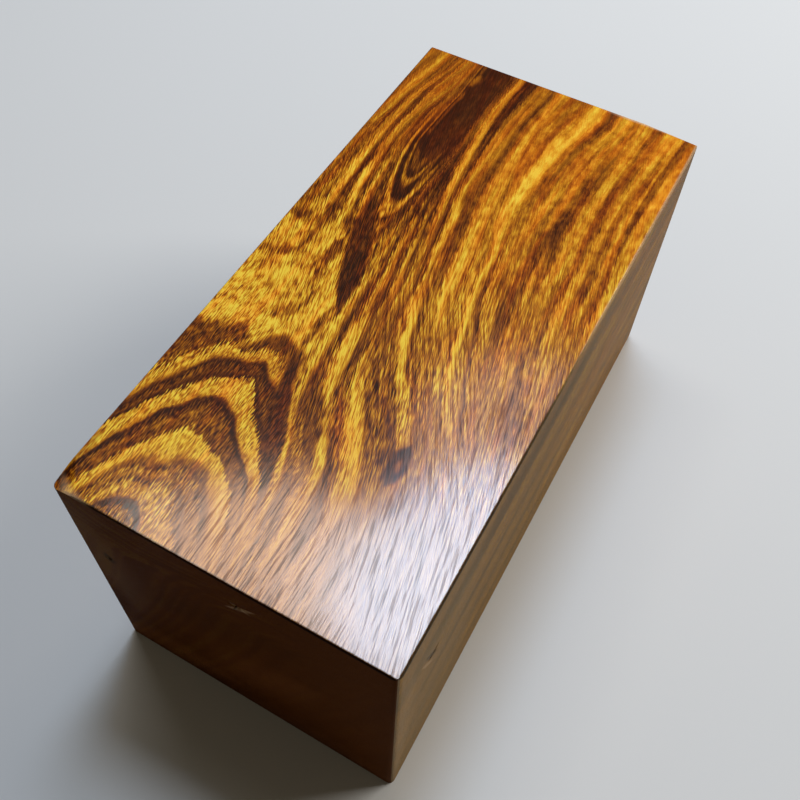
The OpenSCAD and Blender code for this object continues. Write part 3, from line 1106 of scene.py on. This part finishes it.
def floor_material(colour):
    """Plain paper that runs out into the pale background far from the block"""
    material = bpy.data.materials.new("studio_paper")
    r = empty_recipe(material)
    paper = r.node("ShaderNodeBsdfDiffuse")
    paper.inputs[0].default_value = (*colour, 1.0)
    glow = r.node("ShaderNodeEmission")
    glow.inputs[0].default_value = BACKGROUND
    glow.inputs[1].default_value = BACKGROUND_LEVEL
    reach = r.node("ShaderNodeVectorMath", operation="LENGTH")
    r.give(reach.inputs[0], r.node("ShaderNodeTexCoord").outputs["Object"])
    light = r.node("ShaderNodeLightPath")
    fade = r.mul(r.step(reach.outputs["Value"], *FLOOR_FADE), light.outputs["Is Camera Ray"])
    mix = r.node("ShaderNodeMixShader")
    r.give(mix.inputs[0], fade)
    r.give(mix.inputs[1], paper.outputs[0])
    r.give(mix.inputs[2], glow.outputs[0])
    r.give(r.node("ShaderNodeOutputMaterial").inputs[0], mix.outputs[0])
    return material


def studio_floor(scene, colour):
    """The plain round floor, which isn't part of the object"""
    bpy.ops.object.select_all(action="DESELECT")
    bpy.ops.mesh.primitive_circle_add(vertices=FLOOR_CORNERS, radius=FLOOR_RADIUS,
                                      fill_type="NGON", location=(0, 0, LOW.z))
    floor = bpy.context.active_object
    floor.name = "studio_floor"
    floor.data.materials.append(floor_material(colour))


def soft_light(scene, name, glow, shape, width, height, place, turn, colour):
    """A flat light facing down, then turned. glow is how bright it looks, with 1 as paper white."""
    light = bpy.data.lights.new(name, "AREA")
    light.color = colour
    light.shape = shape
    light.size = width
    light.size_y = height
    light.energy = 4 * width * height * glow * (math.pi / 4 if shape == "ELLIPSE" else 1.0)
    lamp = bpy.data.objects.new(name, light)
    lamp.location = place
    lamp.rotation_euler = radians(turn)
    scene.collection.objects.link(lamp)


def studio_sky(level):
    """Even light from all round, and the pale background that the camera sees"""
    world = bpy.data.worlds.new("sky")
    r = empty_recipe(world)
    seen = r.node("ShaderNodeLightPath").outputs["Is Camera Ray"]
    sky = r.node("ShaderNodeBackground")
    r.give(sky.inputs[0], r.blend_colour(seen, SKY_LIGHT, BACKGROUND))
    r.give(sky.inputs[1], r.blend(seen, level, BACKGROUND_LEVEL))
    r.give(r.node("ShaderNodeOutputWorld").inputs[0], sky.outputs[0])
    return world


def studio_camera(scene, lens):
    """A camera above the near right corner of the block"""
    camera = bpy.data.cameras.new("camera")
    camera.lens = lens
    camera.sensor_width = SENSOR_WIDTH
    camera.shift_x, camera.shift_y = CAMERA_SHIFT
    camera.clip_start = 0.01
    eye = bpy.data.objects.new("camera", camera)
    eye.location = CAMERA_PLACE
    eye.rotation_euler = radians(CAMERA_TURN)
    scene.collection.objects.link(eye)
    return eye


class BLANK_OT_studio(bpy.types.Operator):
    """Makes the floor, the lights, the sky and the camera"""

    bl_idname = "blank.studio"
    bl_label = "Studio"

    def execute(self, context):
        settings = context.scene.studio_settings
        scene = context.scene
        scene.view_settings.view_transform = "Standard"
        studio_floor(scene, settings.floor_colour)
        for name, setting, share, *how in LAMPS:
            soft_light(scene, name, getattr(settings, setting) * share, *how)
        scene.world = studio_sky(settings.sky_level)
        scene.camera = studio_camera(scene, settings.lens)
        return {"FINISHED"}


# ---- panel and run ----


class BLANK_PT_panel(bpy.types.Panel):
    """Lists the parts of the model and their settings"""

    bl_idname = "BLANK_PT_panel"
    bl_label = "Handle Blank"
    bl_space_type = "VIEW_3D"
    bl_region_type = "UI"
    bl_category = "Handle Blank"

    def draw(self, context):
        column = self.layout.column()
        column.operator(BLANK_OT_block.bl_idname)
        for name in BlankSettings.__annotations__:
            column.prop(context.scene.blank_settings, name)
        column.operator(BLANK_OT_studio.bl_idname)
        for name in StudioSettings.__annotations__:
            column.prop(context.scene.studio_settings, name)


CLASSES = (BlankSettings, StudioSettings, BLANK_OT_block, BLANK_OT_studio, BLANK_PT_panel)


def register():
    for kind in CLASSES:
        bpy.utils.register_class(kind)
    bpy.types.Scene.blank_settings = bpy.props.PointerProperty(type=BlankSettings)
    bpy.types.Scene.studio_settings = bpy.props.PointerProperty(type=StudioSettings)


def unregister():
    del bpy.types.Scene.studio_settings
    del bpy.types.Scene.blank_settings
    for kind in reversed(CLASSES):
        bpy.utils.unregister_class(kind)


def main():
    register()
    bpy.ops.blank.block()
    bpy.ops.blank.studio()


if __name__ == "__main__":
    main()
